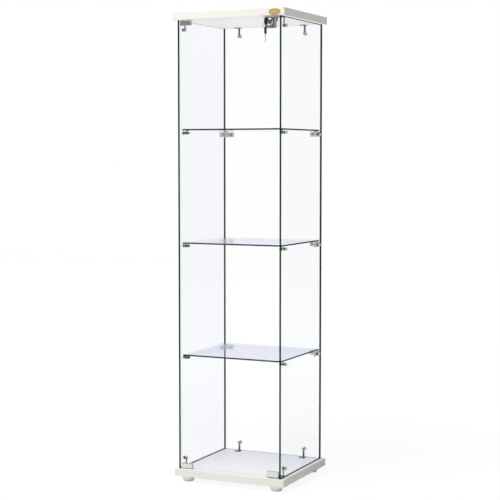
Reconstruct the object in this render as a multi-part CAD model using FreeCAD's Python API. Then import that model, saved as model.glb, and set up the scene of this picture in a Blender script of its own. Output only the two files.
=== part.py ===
import FreeCAD
import Part

import math
import os

# A tall glass display case: two faced boards, three glass walls, a pivoted
# glass door with a lock, and three glass shelves. Millimetres, +Z up, the
# door faces -Y, and the origin is on the floor under the middle of the boards.

# Whole case
case_width = 420.0
case_depth = 375.0
case_height = 1635.0
glass_thickness = 5.0
glass_arris = 0.4

# Boards and the grooves that take the glass walls
board_thickness = 26.0
board_edge_radius = 1.2
glass_side_inset = 15.0
glass_front_inset = 7.0
glass_back_inset = 8.0
groove_depth = 6.0
groove_gap = 0.4
groove_end_gap = 0.5
wall_joint_gap = 0.5

# Feet
foot_height = 20.0
foot_top_diameter = 50.0
foot_floor_diameter = 36.0
foot_edge_radius = 1.5
foot_side_inset = 40.0
foot_end_inset = 32.0
foot_recess_diameter = 10.0
foot_recess_depth = 9.0
foot_screw_head_height = 3.0
foot_screw_head_diameter = 8.0
foot_screw_diameter = 4.0
foot_screw_length = 24.0

# Bolts that clamp through the glass, with plastic grommets both sides
bolt_diameter = 4.0
bolt_head_diameter = 12.0
bolt_head_height = 3.5
bolt_head_radius = 1.2
cap_nut_diameter = 13.0
cap_nut_height = 4.0
cap_nut_radius = 1.6
bolt_reach_in_nut = 2.6
grommet_diameter = 12.0
grommet_flange = 1.0
grommet_spigot = 2.0
glass_hole_diameter = 8.0
fit_gap = 0.1

# Angle brackets that hold the walls to the boards
anchor_width = 7.0
anchor_thickness = 2.0
anchor_foot = 26.0
anchor_foot_width = 22.0
anchor_bolt_rise = 30.0
anchor_end_margin = 4.5
anchor_screw_reach = 15.0
anchor_side_inset = 65.0
front_column_inset = 41.0

# Small countersunk screws
screw_head_diameter = 6.0
screw_head_height = 1.6
screw_diameter = 3.2
screw_length = 14.0

# Shelves
shelf_thickness = 5.0
shelf_lowest_rise = 400.0
shelf_pitch = 394.0
shelf_count = 3
shelf_side_gap = 1.5
shelf_back_gap = 2.5
shelf_swing_gap = 2.0
shelf_corner_radius = 3.0
pad_diameter = 9.0
pad_thickness = 1.5

# Corner brackets that tie the walls and carry the shelf's back corners
corner_back_arm = 37.0
corner_side_arm = 46.0
corner_back_hole = 27.0
corner_side_hole = 20.0
corner_thickness = 2.0
corner_height = 18.0
corner_pad_inset = 12.0

# Studs that carry the shelf's front end
stud_collar_diameter = 12.0
stud_collar_length = 2.5
stud_barrel_diameter = 8.0
stud_barrel_length = 14.0
stud_end_radius = 1.0
stud_pin_diameter = 4.0
stud_pin_offset = 9.0
stud_pin_tail = 2.5
stud_rise_gap = 1.0

# Door and its pivots
door_setback = 6.0
door_side_gap = 2.0
door_end_gap = 5.0
pivot_inset = 6.5
pivot_diameter = 6.0
pivot_length = 9.0
running_gap = 0.05
clip_width = 41.0
clip_height = 16.0
clip_front_wall = 2.0
clip_back_wall = 4.0
clip_bridge = 2.0
clip_edge_radius = 0.6
liner = 0.5
bush_diameter = 10.0
bush_flange_diameter = 14.0
bush_end_wall = 2.0
bush_seat_gap = 0.2
grub_diameter = 4.0
grub_socket_diameter = 2.2
grub_socket_depth = 1.8
grub_spacing = 20.0

# Magnetic catch and the strike clip that it pulls on
strike_width = 44.0
strike_height = 20.0
strike_wall = 1.5
strike_inset = 4.0
catch_gap = 0.3
catch_width = 38.0
catch_depth = 14.0
catch_height = 14.0
catch_edge_radius = 1.0
magnet_width = 16.0
magnet_depth = 8.0
magnet_height = 9.0
magnet_proud = 0.3
catch_screw_spacing = 27.0
catch_screw_recess = 8.0

# Lock on the top edge of the door
lock_inset = 30.0
lock_drop = 16.0
lock_chin = 20.0
lock_width = 36.0
lock_depth = 16.5
lock_bridge = 1.5
lock_back_wall = 4.0
lock_back_drop = 12.0
lock_corner_radius = 4.0
lock_edge_radius = 2.0
lock_pressure_plate = 1.0
lock_pressure_width = 28.0
lock_grub_spacing = 18.0
lock_grub_drop = 6.5
bezel_diameter = 26.0
bezel_length = 4.0
bezel_chamfer = 1.5
bezel_lip_diameter = 18.0
bezel_lip_depth = 0.8
plug_diameter = 14.0
plug_proud = 0.3
plug_rear_gap = 0.4
crank_radius = 5.5
crank_half_turn = 45.0
crank_pin_diameter = 2.6
crank_slot_gap = 0.35
latch_width = 16.0
latch_thickness = 3.4
latch_below_axis = 9.0
latch_above_axis = 4.5
latch_tongue_width = 11.0
latch_top_gap = 0.5
latch_gap = 0.2
latch_cover = 1.2
strike_plate_length = 58.0
strike_plate_width = 14.0
strike_plate_thickness = 1.2
strike_plate_spacing = 46.0
strike_slot_gap = 0.4
mortise_end_gap = 2.0

# Keys and their ring
key_thickness = 2.0
key_height = 7.6
key_slot_gap = 0.2
key_insertion = 14.5
key_neck = 11.5
key_root = 7.0
key_cut_depth = 1.8
key_cut_width = 2.6
key_cut_count = 3
bow_length = 23.0
bow_height = 24.0
bow_thickness = 5.0
bow_corner_radius = 8.0
bow_edge_radius = 1.2
bow_hole_diameter = 8.0
bow_hole_margin = 6.0
ring_radius = 10.5
ring_wire_radius = 0.7
ring_coil_offset = 0.5
ring_hang = 2.2
spare_turn = 15.0

# Blank nameplate on the front of the top board
nameplate_length = 42.0
nameplate_height = 20.0
nameplate_thickness = 1.6
nameplate_edge = 0.4
nameplate_inset = 35.5

# Places worked out from the sizes above
base_top = foot_height + board_thickness
top_under = case_height - board_thickness
board_x = case_width / 2
board_y = case_depth / 2
wall_outer = board_x - glass_side_inset
wall_inner = wall_outer - glass_thickness
wall_front = -board_y + glass_front_inset
wall_back = board_y - glass_back_inset
back_inner = wall_back - glass_thickness
front_column = wall_front + front_column_inset
door_front = wall_front + door_setback
door_middle = door_front + glass_thickness / 2
door_back = door_front + glass_thickness
door_left = -wall_inner + door_side_gap
door_right = wall_inner - door_side_gap
door_bottom = base_top + door_end_gap
door_top = top_under - door_end_gap
pivot_x = door_left + pivot_inset
shelf_front = door_middle + math.hypot(pivot_inset, glass_thickness / 2) + shelf_swing_gap
shelf_middles = [base_top + shelf_lowest_rise + shelf_pitch * i for i in range(shelf_count)]
shelf_names = ["lower", "middle", "upper"]

# How near a point has to lie to count as on a plane
match_limit = 1e-4

X = FreeCAD.Vector(1, 0, 0)
Y = FreeCAD.Vector(0, 1, 0)
Z = FreeCAD.Vector(0, 0, 1)


def point(x, y, z):
    return FreeCAD.Vector(x, y, z)


def block(first, second):
    """A box between two opposite corners."""
    low = point(min(first.x, second.x), min(first.y, second.y), min(first.z, second.z))
    high = point(max(first.x, second.x), max(first.y, second.y), max(first.z, second.z))
    size = high - low
    return Part.makeBox(size.x, size.y, size.z, low)


def rod(start, direction, diameter, length):
    return Part.makeCylinder(diameter / 2, length, start, direction)


def taper(start, direction, first_diameter, last_diameter, length):
    return Part.makeCone(first_diameter / 2, last_diameter / 2, length, start, direction)


def slab_between(outline, direction):
    """A flat closed wire pushed along a direction."""
    return Part.Face(outline).extrude(direction)


def edges_at(shape, place, direction):
    """The edges that lie in the plane through a point, square to a direction."""
    found = []
    for edge in shape.Edges:
        ends = [vertex.Point for vertex in edge.Vertexes] + [edge.CenterOfMass]
        if all(abs((end - place).dot(direction)) < match_limit for end in ends):
            found.append(edge)
    return found


def edges_of_length(shape, length):
    return [edge for edge in shape.Edges if abs(edge.Length - length) < match_limit]


def joined(shapes):
    return shapes[0].fuse(shapes[1:]).removeSplitter()


def save(name, shape):
    shape.exportStep("parts/%s.step" % name)


def save_group(name, shapes):
    save(name, Part.makeCompound(shapes))


os.makedirs("parts", exist_ok=True)

bolts = []
cap_nuts = []
grommets = []
small_screws = []
pads = []
stud_pins = []
door_liners = []
grub_screws = []
base_cuts = []
top_cuts = []
wall_cuts = {"left": [], "right": [], "back": []}


def grommet(face, outward):
    """A flanged sleeve that sits on a glass face and lines half of its hole."""
    flange = rod(face, outward, grommet_diameter, grommet_flange)
    spigot = rod(face - outward * grommet_spigot, outward,
                 glass_hole_diameter - 2 * fit_gap, grommet_spigot)
    bore_length = grommet_flange + grommet_spigot
    bore = rod(face - outward * grommet_spigot, outward, bolt_diameter + 2 * fit_gap, bore_length)
    return joined([flange, spigot]).cut(bore)


def cap_nut(seat, outward):
    """A closed round nut outside the glass, with a rounded rim."""
    body = rod(seat, outward, cap_nut_diameter, cap_nut_height)
    rim = edges_at(body, seat + outward * cap_nut_height, outward)
    body = body.makeFillet(cap_nut_radius, rim)
    return body.cut(rod(seat, outward, bolt_diameter + 2 * running_gap, bolt_reach_in_nut + fit_gap))


def glass_hole(wall, face, outward):
    """Drills a wall and fits the two grommets and the nut round the hole."""
    far_face = face + outward * glass_thickness
    wall_cuts[wall].append(rod(face, outward, glass_hole_diameter, glass_thickness))
    grommets.append(grommet(face, outward * -1))
    grommets.append(grommet(far_face, outward))
    cap_nuts.append(cap_nut(far_face + outward * grommet_flange, outward))


def clamp_bolt(wall, face, outward, bracket_thickness):
    """A button-headed bolt through a bracket and a wall, into its cap nut."""
    glass_hole(wall, face, outward)
    seat = face - outward * (grommet_flange + bracket_thickness)
    head_top = seat - outward * bolt_head_height
    head = rod(seat, outward * -1, bolt_head_diameter, bolt_head_height)
    head = head.makeFillet(bolt_head_radius, edges_at(head, head_top, outward))
    shank_length = bracket_thickness + 2 * grommet_flange + glass_thickness + bolt_reach_in_nut
    bolts.append(joined([head, rod(seat, outward, bolt_diameter, shank_length)]))


def bolt_clearance(face, outward, bracket_thickness):
    start = face - outward * (grommet_flange + bracket_thickness)
    return rod(start, outward, bolt_diameter + 2 * fit_gap, bracket_thickness)


def small_screw(surface, inward, plate_thickness, board_cuts):
    """A countersunk screw through a plate and into a board.

    The screw and the board's pilot hole are kept; the plate's own hole is returned.
    """
    head = taper(surface, inward, screw_head_diameter, screw_diameter, screw_head_height)
    shank = rod(surface, inward, screw_diameter, screw_length)
    small_screws.append(joined([head, shank]))
    pilot_diameter = screw_diameter + 2 * running_gap
    pilot_length = screw_length - plate_thickness + fit_gap
    board_cuts.append(rod(surface + inward * plate_thickness, inward, pilot_diameter, pilot_length))
    wide = screw_head_diameter + 2 * fit_gap
    narrow = screw_diameter + 2 * fit_gap
    sink = taper(surface, inward, wide, narrow, screw_head_height)
    board_cuts.append(sink)
    return joined([sink, rod(surface, inward, narrow, plate_thickness)])


# Feet: moulded cones, each with one pan-headed screw up into the base board
foot_screws = []
for side_name, side in (("left", -1), ("right", 1)):
    for end_name, end in (("front", -1), ("back", 1)):
        floor = point(side * (board_x - foot_side_inset), end * (board_y - foot_end_inset), 0)
        foot = taper(floor, Z, foot_floor_diameter, foot_top_diameter, foot_height)
        foot = foot.makeFillet(foot_edge_radius, edges_at(foot, floor, Z))
        seat = floor + Z * foot_recess_depth
        shaft_gap = foot_screw_diameter + 2 * fit_gap
        foot = foot.cut([rod(floor, Z, foot_recess_diameter, foot_recess_depth),
                         rod(floor, Z, shaft_gap, foot_height)])
        save("foot_%s_%s" % (end_name, side_name), foot)
        head = rod(seat, Z * -1, foot_screw_head_diameter, foot_screw_head_height)
        shank = rod(seat, Z, foot_screw_diameter, foot_screw_length)
        foot_screws.append(joined([head, shank]))
        board_hole_length = foot_recess_depth + foot_screw_length - foot_height + fit_gap
        base_cuts.append(rod(floor + Z * foot_height, Z,
                             foot_screw_diameter + 2 * running_gap, board_hole_length))
save_group("foot_screws", foot_screws)


# Angle brackets: an upright strip bolted to a wall and a wider foot screwed to a board
def anchor(name, wall, corner, outward, upward, board_cuts):
    across = upward.cross(outward)
    half_width = across * (anchor_width / 2)
    half_foot = across * (anchor_foot_width / 2)
    strip_back = corner - outward * grommet_flange
    bolt_face = corner + upward * anchor_bolt_rise
    upright = block(strip_back - half_width,
                    strip_back - outward * anchor_thickness + half_width
                    + upward * (anchor_bolt_rise + anchor_end_margin))
    foot = block(strip_back - half_foot,
                 strip_back - outward * anchor_foot + half_foot + upward * anchor_thickness)
    screw_place = strip_back - outward * anchor_screw_reach + upward * anchor_thickness
    screw_hole = small_screw(screw_place, upward * -1, anchor_thickness, board_cuts)
    clamp_bolt(wall, bolt_face, outward, anchor_thickness)
    bolt_hole = bolt_clearance(bolt_face, outward, anchor_thickness)
    save(name, joined([upright, foot]).cut([screw_hole, bolt_hole]))


for level, height, upward, board_cuts in (("base", base_top, Z, base_cuts),
                                          ("top", top_under, Z * -1, top_cuts)):
    for side_name, side in (("left", -1), ("right", 1)):
        front_corner = point(side * wall_inner, front_column, height)
        anchor("%s_bracket_front_%s" % (level, side_name), side_name, front_corner,
               X * side, upward, board_cuts)
        back_corner = point(side * (wall_outer - anchor_side_inset), back_inner, height)
        anchor("%s_bracket_back_%s" % (level, side_name), "back", back_corner,
               Y, upward, board_cuts)


# Shelves: loose glass plates that rest on rubber pads
def shelf(middle):
    low = point(-wall_inner + shelf_side_gap, shelf_front, middle - shelf_thickness / 2)
    high = point(wall_inner - shelf_side_gap, back_inner - shelf_back_gap, middle + shelf_thickness / 2)
    plate = block(low, high)
    plate = plate.makeFillet(shelf_corner_radius, edges_of_length(plate, shelf_thickness))
    rims = edges_at(plate, low, Z) + edges_at(plate, high, Z)
    return plate.makeChamfer(glass_arris, rims)


# Corner brackets: two bolted arms and a three-cornered ledge under the shelf
def corner_bracket(name, side_name, side, ledge_top):
    outer_x = side * (wall_inner - grommet_flange)
    outer_y = back_inner - grommet_flange
    inner_x = outer_x - side * corner_thickness
    inner_y = outer_y - corner_thickness
    back_end = outer_x - side * corner_back_arm
    side_end = outer_y - corner_side_arm
    bolt_z = ledge_top - corner_height / 2 - corner_thickness / 2
    low_z = ledge_top - corner_height
    back_arm = block(point(outer_x, outer_y, low_z), point(back_end, inner_y, ledge_top))
    side_arm = block(point(outer_x, outer_y, low_z), point(inner_x, side_end, ledge_top))
    ledge_outline = Part.makePolygon([point(outer_x, outer_y, ledge_top),
                                      point(back_end, outer_y, ledge_top),
                                      point(back_end, inner_y, ledge_top),
                                      point(inner_x, side_end, ledge_top),
                                      point(outer_x, side_end, ledge_top),
                                      point(outer_x, outer_y, ledge_top)])
    ledge = slab_between(ledge_outline, Z * -corner_thickness)
    back_face = point(side * (wall_inner - corner_back_hole), back_inner, bolt_z)
    side_face = point(side * wall_inner, back_inner - corner_side_hole, bolt_z)
    clamp_bolt("back", back_face, Y, corner_thickness)
    clamp_bolt(side_name, side_face, X * side, corner_thickness)
    holes = [bolt_clearance(back_face, Y, corner_thickness),
             bolt_clearance(side_face, X * side, corner_thickness)]
    save(name, joined([back_arm, side_arm, ledge]).cut(holes))
    pad_place = point(outer_x - side * corner_pad_inset, outer_y - corner_pad_inset, ledge_top)
    pads.append(rod(pad_place, Z, pad_diameter, pad_thickness))


# Front studs: a barrel bolted through the side wall, with an upright pin and pad
def front_stud(name, side_name, side, ledge_top):
    outward = X * side
    axis_z = ledge_top - stud_rise_gap - stud_collar_diameter / 2
    face = point(side * wall_inner, front_column, axis_z)
    glass_hole(side_name, face, outward)
    collar_seat = face - outward * grommet_flange
    collar = rod(collar_seat, outward * -1, stud_collar_diameter, stud_collar_length)
    barrel_length = stud_collar_length + stud_barrel_length
    barrel = rod(collar_seat, outward * -1, stud_barrel_diameter, barrel_length)
    barrel_end = collar_seat - outward * barrel_length
    barrel = barrel.makeFillet(stud_end_radius, edges_at(barrel, barrel_end, outward))
    shank_length = 2 * grommet_flange + glass_thickness + bolt_reach_in_nut
    shank = rod(collar_seat, outward, bolt_diameter, shank_length)
    pin_x = collar_seat.x - side * stud_pin_offset
    pin_low = point(pin_x, front_column, axis_z - stud_barrel_diameter / 2 - stud_pin_tail)
    pin_length = ledge_top - pin_low.z
    pin_hole = rod(pin_low, Z, stud_pin_diameter + 2 * running_gap, pin_length)
    save(name, joined([collar, barrel, shank]).cut(pin_hole))
    stud_pins.append(rod(pin_low, Z, stud_pin_diameter, pin_length))
    pads.append(rod(point(pin_x, front_column, ledge_top), Z, pad_diameter, pad_thickness))


for shelf_name, middle in zip(shelf_names, shelf_middles):
    save("%s_shelf" % shelf_name, shelf(middle))
    ledge_top = middle - shelf_thickness / 2 - pad_thickness
    for side_name, side in (("left", -1), ("right", 1)):
        corner_bracket("%s_corner_bracket_%s" % (shelf_name, side_name), side_name, side, ledge_top)
        front_stud("%s_front_stud_%s" % (shelf_name, side_name), side_name, side, ledge_top)
save_group("shelf_pads", pads)
save_group("stud_pins", stud_pins)


# Glass walls stand in the base groove and reach into the top groove
def glass_plate(first, second, holes):
    plate = block(first, second)
    plate = plate.makeChamfer(glass_arris, plate.Edges)
    return plate.cut(holes) if holes else plate


wall_low = base_top - groove_depth
wall_high = top_under + groove_depth - groove_end_gap
for side_name, side in (("left", -1), ("right", 1)):
    inner_corner = point(side * wall_inner, wall_front, wall_low)
    outer_corner = point(side * wall_outer, wall_back, wall_high)
    save("%s_glass" % side_name, glass_plate(inner_corner, outer_corner, wall_cuts[side_name]))
save("back_glass", glass_plate(point(-wall_inner + wall_joint_gap, back_inner, wall_low),
                               point(wall_inner - wall_joint_gap, wall_back, wall_high),
                               wall_cuts["back"]))
for board_cuts, surface, inward in ((base_cuts, base_top, Z * -1), (top_cuts, top_under, Z)):
    bottom = surface + inward.z * groove_depth
    for side in (-1, 1):
        board_cuts.append(block(point(side * (wall_inner - groove_gap), wall_front - groove_gap, surface),
                                point(side * (wall_outer + groove_gap), wall_back + groove_gap, bottom)))
    board_cuts.append(block(point(-wall_inner, back_inner - groove_gap, surface),
                            point(wall_inner, wall_back + groove_gap, bottom)))
save_group("clamp_bolts", bolts)
save_group("cap_nuts", cap_nuts)
save_group("glass_grommets", grommets)


# Door: one pane, clipped at its left corners to pins that turn in the boards
save("door_glass", glass_plate(point(door_left, door_front, door_bottom),
                               point(door_right, door_back, door_top), []))


def grub_screw(face, inward, length):
    """A short socket screw flush in a clip's back wall, and the hole it needs."""
    screw = rod(face, inward, grub_diameter, length)
    screw = screw.cut(rod(face, inward, grub_socket_diameter, grub_socket_depth))
    grub_screws.append(screw)
    return rod(face, inward, grub_diameter + 2 * running_gap, length)


def edge_clip(left, right, edge_z, outward, height, front_wall, back_wall, bridge):
    """A channel over a door edge and the liner that keeps it off the glass."""
    slot_front = door_front - liner
    slot_back = door_back + liner
    slot_end = edge_z + outward * liner
    top_end = slot_end + outward * bridge
    mouth = top_end - outward * height
    front_corner = point(left, slot_front - front_wall, mouth)
    body = block(front_corner, point(right, slot_back + back_wall, top_end))
    body = body.makeFillet(clip_edge_radius, edges_at(body, front_corner, Y))
    slot = block(point(left, slot_front, mouth), point(right, slot_back, slot_end))
    glass = block(point(left, door_front, mouth), point(right, door_back, edge_z))
    door_liners.append(slot.cut(glass))
    return body.cut(slot)


pivot_pins = []
pivot_bushes = []
for name, edge_z, outward, board_z, board_cuts in (("lower", door_bottom, -1, base_top, base_cuts),
                                                   ("upper", door_top, 1, top_under, top_cuts)):
    clip_right = door_left + clip_width
    clip = edge_clip(door_left, clip_right, edge_z, outward, clip_height,
                     clip_front_wall, clip_back_wall, clip_bridge)
    out = Z * outward
    bridge_inner = point(pivot_x, door_middle, edge_z + outward * liner)
    bridge_outer = bridge_inner + out * clip_bridge
    clip = clip.cut(rod(bridge_inner, out, pivot_diameter, clip_bridge))
    grub_face_y = door_back + liner + clip_back_wall
    grub_z = edge_z + outward * (liner + clip_bridge - clip_height / 2)
    for step in (-1, 1):
        grub_x = (door_left + clip_right) / 2 + step * grub_spacing / 2
        clip = clip.cut(grub_screw(point(grub_x, grub_face_y, grub_z), Y * -1, clip_back_wall))
    save("%s_hinge_clip" % name, clip)

    pin_length = door_end_gap - liner + pivot_length
    pivot_pins.append(rod(bridge_inner, out, pivot_diameter, pin_length))

    flange_start = bridge_outer + out * bush_seat_gap
    board_face = point(pivot_x, door_middle, board_z)
    flange_length = abs(board_z - flange_start.z)
    sleeve_length = pivot_length + bush_end_wall
    flange = rod(flange_start, out, bush_flange_diameter, flange_length)
    sleeve = rod(board_face, out, bush_diameter, sleeve_length)
    bore = rod(flange_start, out, pivot_diameter + 2 * running_gap, flange_length + pivot_length + fit_gap)
    pivot_bushes.append(joined([flange, sleeve]).cut(bore))
    board_cuts.append(rod(board_face, out, bush_diameter + 2 * running_gap, sleeve_length + fit_gap))
save_group("pivot_pins", pivot_pins)
save_group("pivot_bushes", pivot_bushes)


# Strike clip on the door's lower right corner, and the magnetic catch behind it
strike_right = door_right - strike_inset
strike_left = strike_right - strike_width
strike_middle = (strike_left + strike_right) / 2
save("strike_clip", edge_clip(strike_left, strike_right, door_bottom, -1, strike_height,
                              strike_wall, strike_wall, strike_wall))
catch_front = door_back + liner + strike_wall + catch_gap + magnet_proud
catch_top = base_top + catch_height
catch = block(point(strike_middle - catch_width / 2, catch_front, base_top),
              point(strike_middle + catch_width / 2, catch_front + catch_depth, catch_top))
catch = catch.makeFillet(catch_edge_radius, edges_at(catch, point(0, 0, catch_top), Z))
magnet_low = base_top + (catch_height - magnet_height) / 2
magnet_high = magnet_low + magnet_height
magnet = block(point(strike_middle - magnet_width / 2, catch_front - magnet_proud, magnet_low),
               point(strike_middle + magnet_width / 2, catch_front + magnet_depth, magnet_high))
catch_holes = [magnet]
for step in (-1, 1):
    screw_x = strike_middle + step * catch_screw_spacing / 2
    hole_top = point(screw_x, catch_front + catch_depth / 2, catch_top)
    screw_top = hole_top - Z * catch_screw_recess
    catch_holes.append(rod(hole_top, Z * -1, screw_head_diameter + 2 * fit_gap, catch_screw_recess))
    catch_holes.append(small_screw(screw_top, Z * -1, catch_height - catch_screw_recess, base_cuts))
save("catch_housing", catch.cut(catch_holes))
save("catch_magnet", magnet)


# Lock: a square body clamped over the door's top edge. The key turns a plug,
# whose crank pin lifts a flat latch up into the strike plate on the top board.
lock_x = door_right - lock_inset
lock_z = door_top - lock_drop
lock_rear = door_front - liner
lock_face = lock_rear - lock_depth
lock_under_bridge = door_top + liner
lock_top = lock_under_bridge + lock_bridge
lock_half = lock_width / 2
lock_axis = point(lock_x, lock_face, lock_z)


def lock_outline(y, top):
    """A square with its two lower corners rounded."""
    low = lock_z - lock_chin
    bend = lock_corner_radius * (1 - math.sqrt(0.5))
    arcs = []
    sides = []
    for side in (-1, 1):
        outer = lock_x + side * lock_half
        arc_start = point(outer, y, low + lock_corner_radius)
        arc_end = point(outer - side * lock_corner_radius, y, low)
        arcs.append(Part.Arc(arc_start, point(outer - side * bend, y, low + bend), arc_end).toShape())
        sides.append(Part.makeLine(point(outer, y, top), arc_start))
    foot_half = lock_half - lock_corner_radius
    foot = Part.makeLine(point(lock_x - foot_half, y, low), point(lock_x + foot_half, y, low))
    head = Part.makeLine(point(lock_x + lock_half, y, top), point(lock_x - lock_half, y, top))
    return Part.Wire([sides[0], arcs[0], foot, arcs[1], sides[1], head])


latch_rear = lock_rear - latch_cover
latch_front = latch_rear - latch_thickness
pocket_front = latch_front - latch_gap
plug_rear = latch_front - plug_rear_gap
plug_bore = plug_diameter + 2 * running_gap
clamp_inner = door_back + lock_pressure_plate
clamp_outer = clamp_inner + lock_back_wall

lock_front_block = slab_between(lock_outline(lock_face, lock_top), Y * lock_depth)
lock_rim = edges_at(lock_front_block, lock_axis, Y)
lock_front_block = lock_front_block.makeFillet(lock_edge_radius, lock_rim)
lock_over = block(point(lock_x - lock_half, lock_rear, lock_under_bridge),
                  point(lock_x + lock_half, clamp_outer, lock_top))
lock_back = block(point(lock_x - lock_half, clamp_inner, door_top - lock_back_drop),
                  point(lock_x + lock_half, clamp_outer, lock_top))
pocket_half = latch_width / 2 + latch_gap
pocket_low = lock_z - latch_below_axis - latch_gap
tongue_half = latch_tongue_width / 2 + latch_gap
latch_pocket = block(point(lock_x - pocket_half, pocket_front, pocket_low),
                     point(lock_x + pocket_half, lock_rear, lock_under_bridge))
tongue_slot = block(point(lock_x - tongue_half, pocket_front, lock_z),
                    point(lock_x + tongue_half, latch_rear + latch_gap, lock_top))
plug_hole = rod(lock_axis, Y, plug_bore, lock_depth)
lock_holes = [latch_pocket, tongue_slot, plug_hole]
for step in (-1, 1):
    grub_x = lock_x + step * lock_grub_spacing / 2
    grub_place = point(grub_x, clamp_outer, door_top - lock_grub_drop)
    lock_holes.append(grub_screw(grub_place, Y * -1, lock_back_wall))
lock_body = joined([lock_front_block, lock_over, lock_back]).cut(lock_holes)
save("lock_body", lock_body)
save_group("grub_screws", grub_screws)

# The pad in front of the glass also closes the latch pocket
door_liners.append(slab_between(lock_outline(lock_rear, door_top), Y * liner))
door_liners.append(block(point(lock_x - lock_pressure_width / 2, door_back, door_top - lock_back_drop),
                         point(lock_x + lock_pressure_width / 2, clamp_inner, door_top)))
save_group("door_liners", door_liners)

bezel_front = lock_face - bezel_length
bezel_axis = point(lock_x, bezel_front, lock_z)
bezel = rod(bezel_axis, Y, bezel_diameter, bezel_length)
bezel = bezel.makeChamfer(bezel_chamfer, edges_at(bezel, bezel_axis, Y))
save("lock_bezel", bezel.cut([rod(bezel_axis, Y, bezel_lip_diameter, bezel_lip_depth),
                              rod(bezel_axis, Y, plug_bore, bezel_length)]))

plug_front = bezel_front - plug_proud
key_slot_half = key_thickness / 2 + key_slot_gap
key_slot_rise = key_height / 2 + key_slot_gap
crank_angle = math.radians(180 + crank_half_turn)
crank_x = lock_x + crank_radius * math.cos(crank_angle)
crank_z = lock_z + crank_radius * math.sin(crank_angle)
plug = rod(point(lock_x, plug_front, lock_z), Y, plug_diameter, plug_rear - plug_front)
keyway_end = plug_front + key_insertion + key_slot_gap
keyway = block(point(lock_x - key_slot_half, plug_front, lock_z - key_slot_rise),
               point(lock_x + key_slot_half, keyway_end, lock_z + key_slot_rise))
crank_pin = rod(point(crank_x, plug_rear, crank_z), Y, crank_pin_diameter, latch_rear - plug_rear)
save("lock_plug", joined([plug.cut(keyway), crank_pin]))

latch_lift = 2 * crank_radius * math.sin(math.radians(crank_half_turn))
latch_top = lock_top - latch_top_gap
latch_plate = block(point(lock_x - latch_width / 2, latch_front, lock_z - latch_below_axis),
                    point(lock_x + latch_width / 2, latch_rear, lock_z + latch_above_axis))
latch_tongue = block(point(lock_x - latch_tongue_width / 2, latch_front, lock_z),
                     point(lock_x + latch_tongue_width / 2, latch_rear, latch_top))
crank_slot_half = crank_pin_diameter / 2 + crank_slot_gap
crank_slot_left = lock_x - crank_radius - crank_slot_half
crank_slot = block(point(crank_slot_left, latch_front, crank_z - crank_slot_half),
                   point(crank_x + crank_slot_half, latch_rear, crank_z + crank_slot_half))
save("lock_latch", joined([latch_plate, latch_tongue]).cut(crank_slot))

latch_middle = (latch_front + latch_rear) / 2
strike_plate_under = top_under - strike_plate_thickness
plate_half_x = strike_plate_length / 2
plate_half_y = strike_plate_width / 2
strike_plate = block(point(lock_x - plate_half_x, latch_middle - plate_half_y, strike_plate_under),
                     point(lock_x + plate_half_x, latch_middle + plate_half_y, top_under))
slot_x = latch_tongue_width / 2 + strike_slot_gap
slot_y = latch_thickness / 2 + strike_slot_gap
strike_holes = [block(point(lock_x - slot_x, latch_middle - slot_y, strike_plate_under),
                      point(lock_x + slot_x, latch_middle + slot_y, top_under))]
for step in (-1, 1):
    screw_place = point(lock_x + step * strike_plate_spacing / 2, latch_middle, strike_plate_under)
    strike_holes.append(small_screw(screw_place, Z, strike_plate_thickness, top_cuts))
save("lock_strike_plate", strike_plate.cut(strike_holes))
mortise_top = latch_top + latch_lift + mortise_end_gap
top_cuts.append(block(point(lock_x - slot_x, latch_middle - slot_y, top_under),
                      point(lock_x + slot_x, latch_middle + slot_y, mortise_top)))
save_group("fixing_screws", small_screws)


# Keys: modelled pointing along +Y with the blade's tip ahead of the shoulder
# at the origin, so that both keys come from one shape
def key_pieces():
    half_thick = key_thickness / 2
    half_high = key_height / 2
    bow_front = -key_neck - bow_length
    blade = block(point(-half_thick, -key_neck - key_root, -half_high),
                  point(half_thick, key_insertion, half_high))
    for number in range(key_cut_count):
        middle = key_insertion * (number + 1) / (key_cut_count + 1)
        notch = Part.makePolygon([point(-half_thick, middle - key_cut_width / 2, -half_high),
                                  point(-half_thick, middle, -half_high + key_cut_depth),
                                  point(-half_thick, middle + key_cut_width / 2, -half_high),
                                  point(-half_thick, middle - key_cut_width / 2, -half_high)])
        blade = blade.cut(slab_between(notch, X * key_thickness))
    bow = block(point(-bow_thickness / 2, bow_front, -bow_height / 2),
                point(bow_thickness / 2, -key_neck, bow_height / 2))
    bow = bow.makeFillet(bow_corner_radius, edges_of_length(bow, bow_thickness))
    cheek = X * (bow_thickness / 2)
    bow = bow.makeFillet(bow_edge_radius, edges_at(bow, cheek, X) + edges_at(bow, cheek * -1, X))
    hole = point(-bow_thickness / 2, bow_front + bow_hole_margin, 0)
    bow = bow.cut([blade, rod(hole, X, bow_hole_diameter, bow_thickness)])
    return blade, bow, hole.y


key_blade, key_bow, hole_reach = key_pieces()
key_shift = point(lock_x, plug_front, lock_z)
save("key_blade", key_blade.translated(key_shift))
save("key_bow", key_bow.translated(key_shift))

# The ring is two turns of round wire pressed together, hung in the key's hole
ring_y = plug_front + hole_reach
ring_z = lock_z - ring_hang - ring_radius
seam = math.sqrt(ring_wire_radius ** 2 - ring_coil_offset ** 2)


def ring_point(outward, along):
    return point(lock_x + ring_radius + outward, ring_y + along, ring_z)


coil_reach = ring_coil_offset + ring_wire_radius
front_coil = Part.Arc(ring_point(-seam, 0), ring_point(0, -coil_reach), ring_point(seam, 0))
back_coil = Part.Arc(ring_point(seam, 0), ring_point(0, coil_reach), ring_point(-seam, 0))
ring_section = Part.Face(Part.Wire([front_coil.toShape(), back_coil.toShape()]))
save("key_ring", ring_section.revolve(point(lock_x, ring_y, ring_z), Y, 360))

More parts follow.
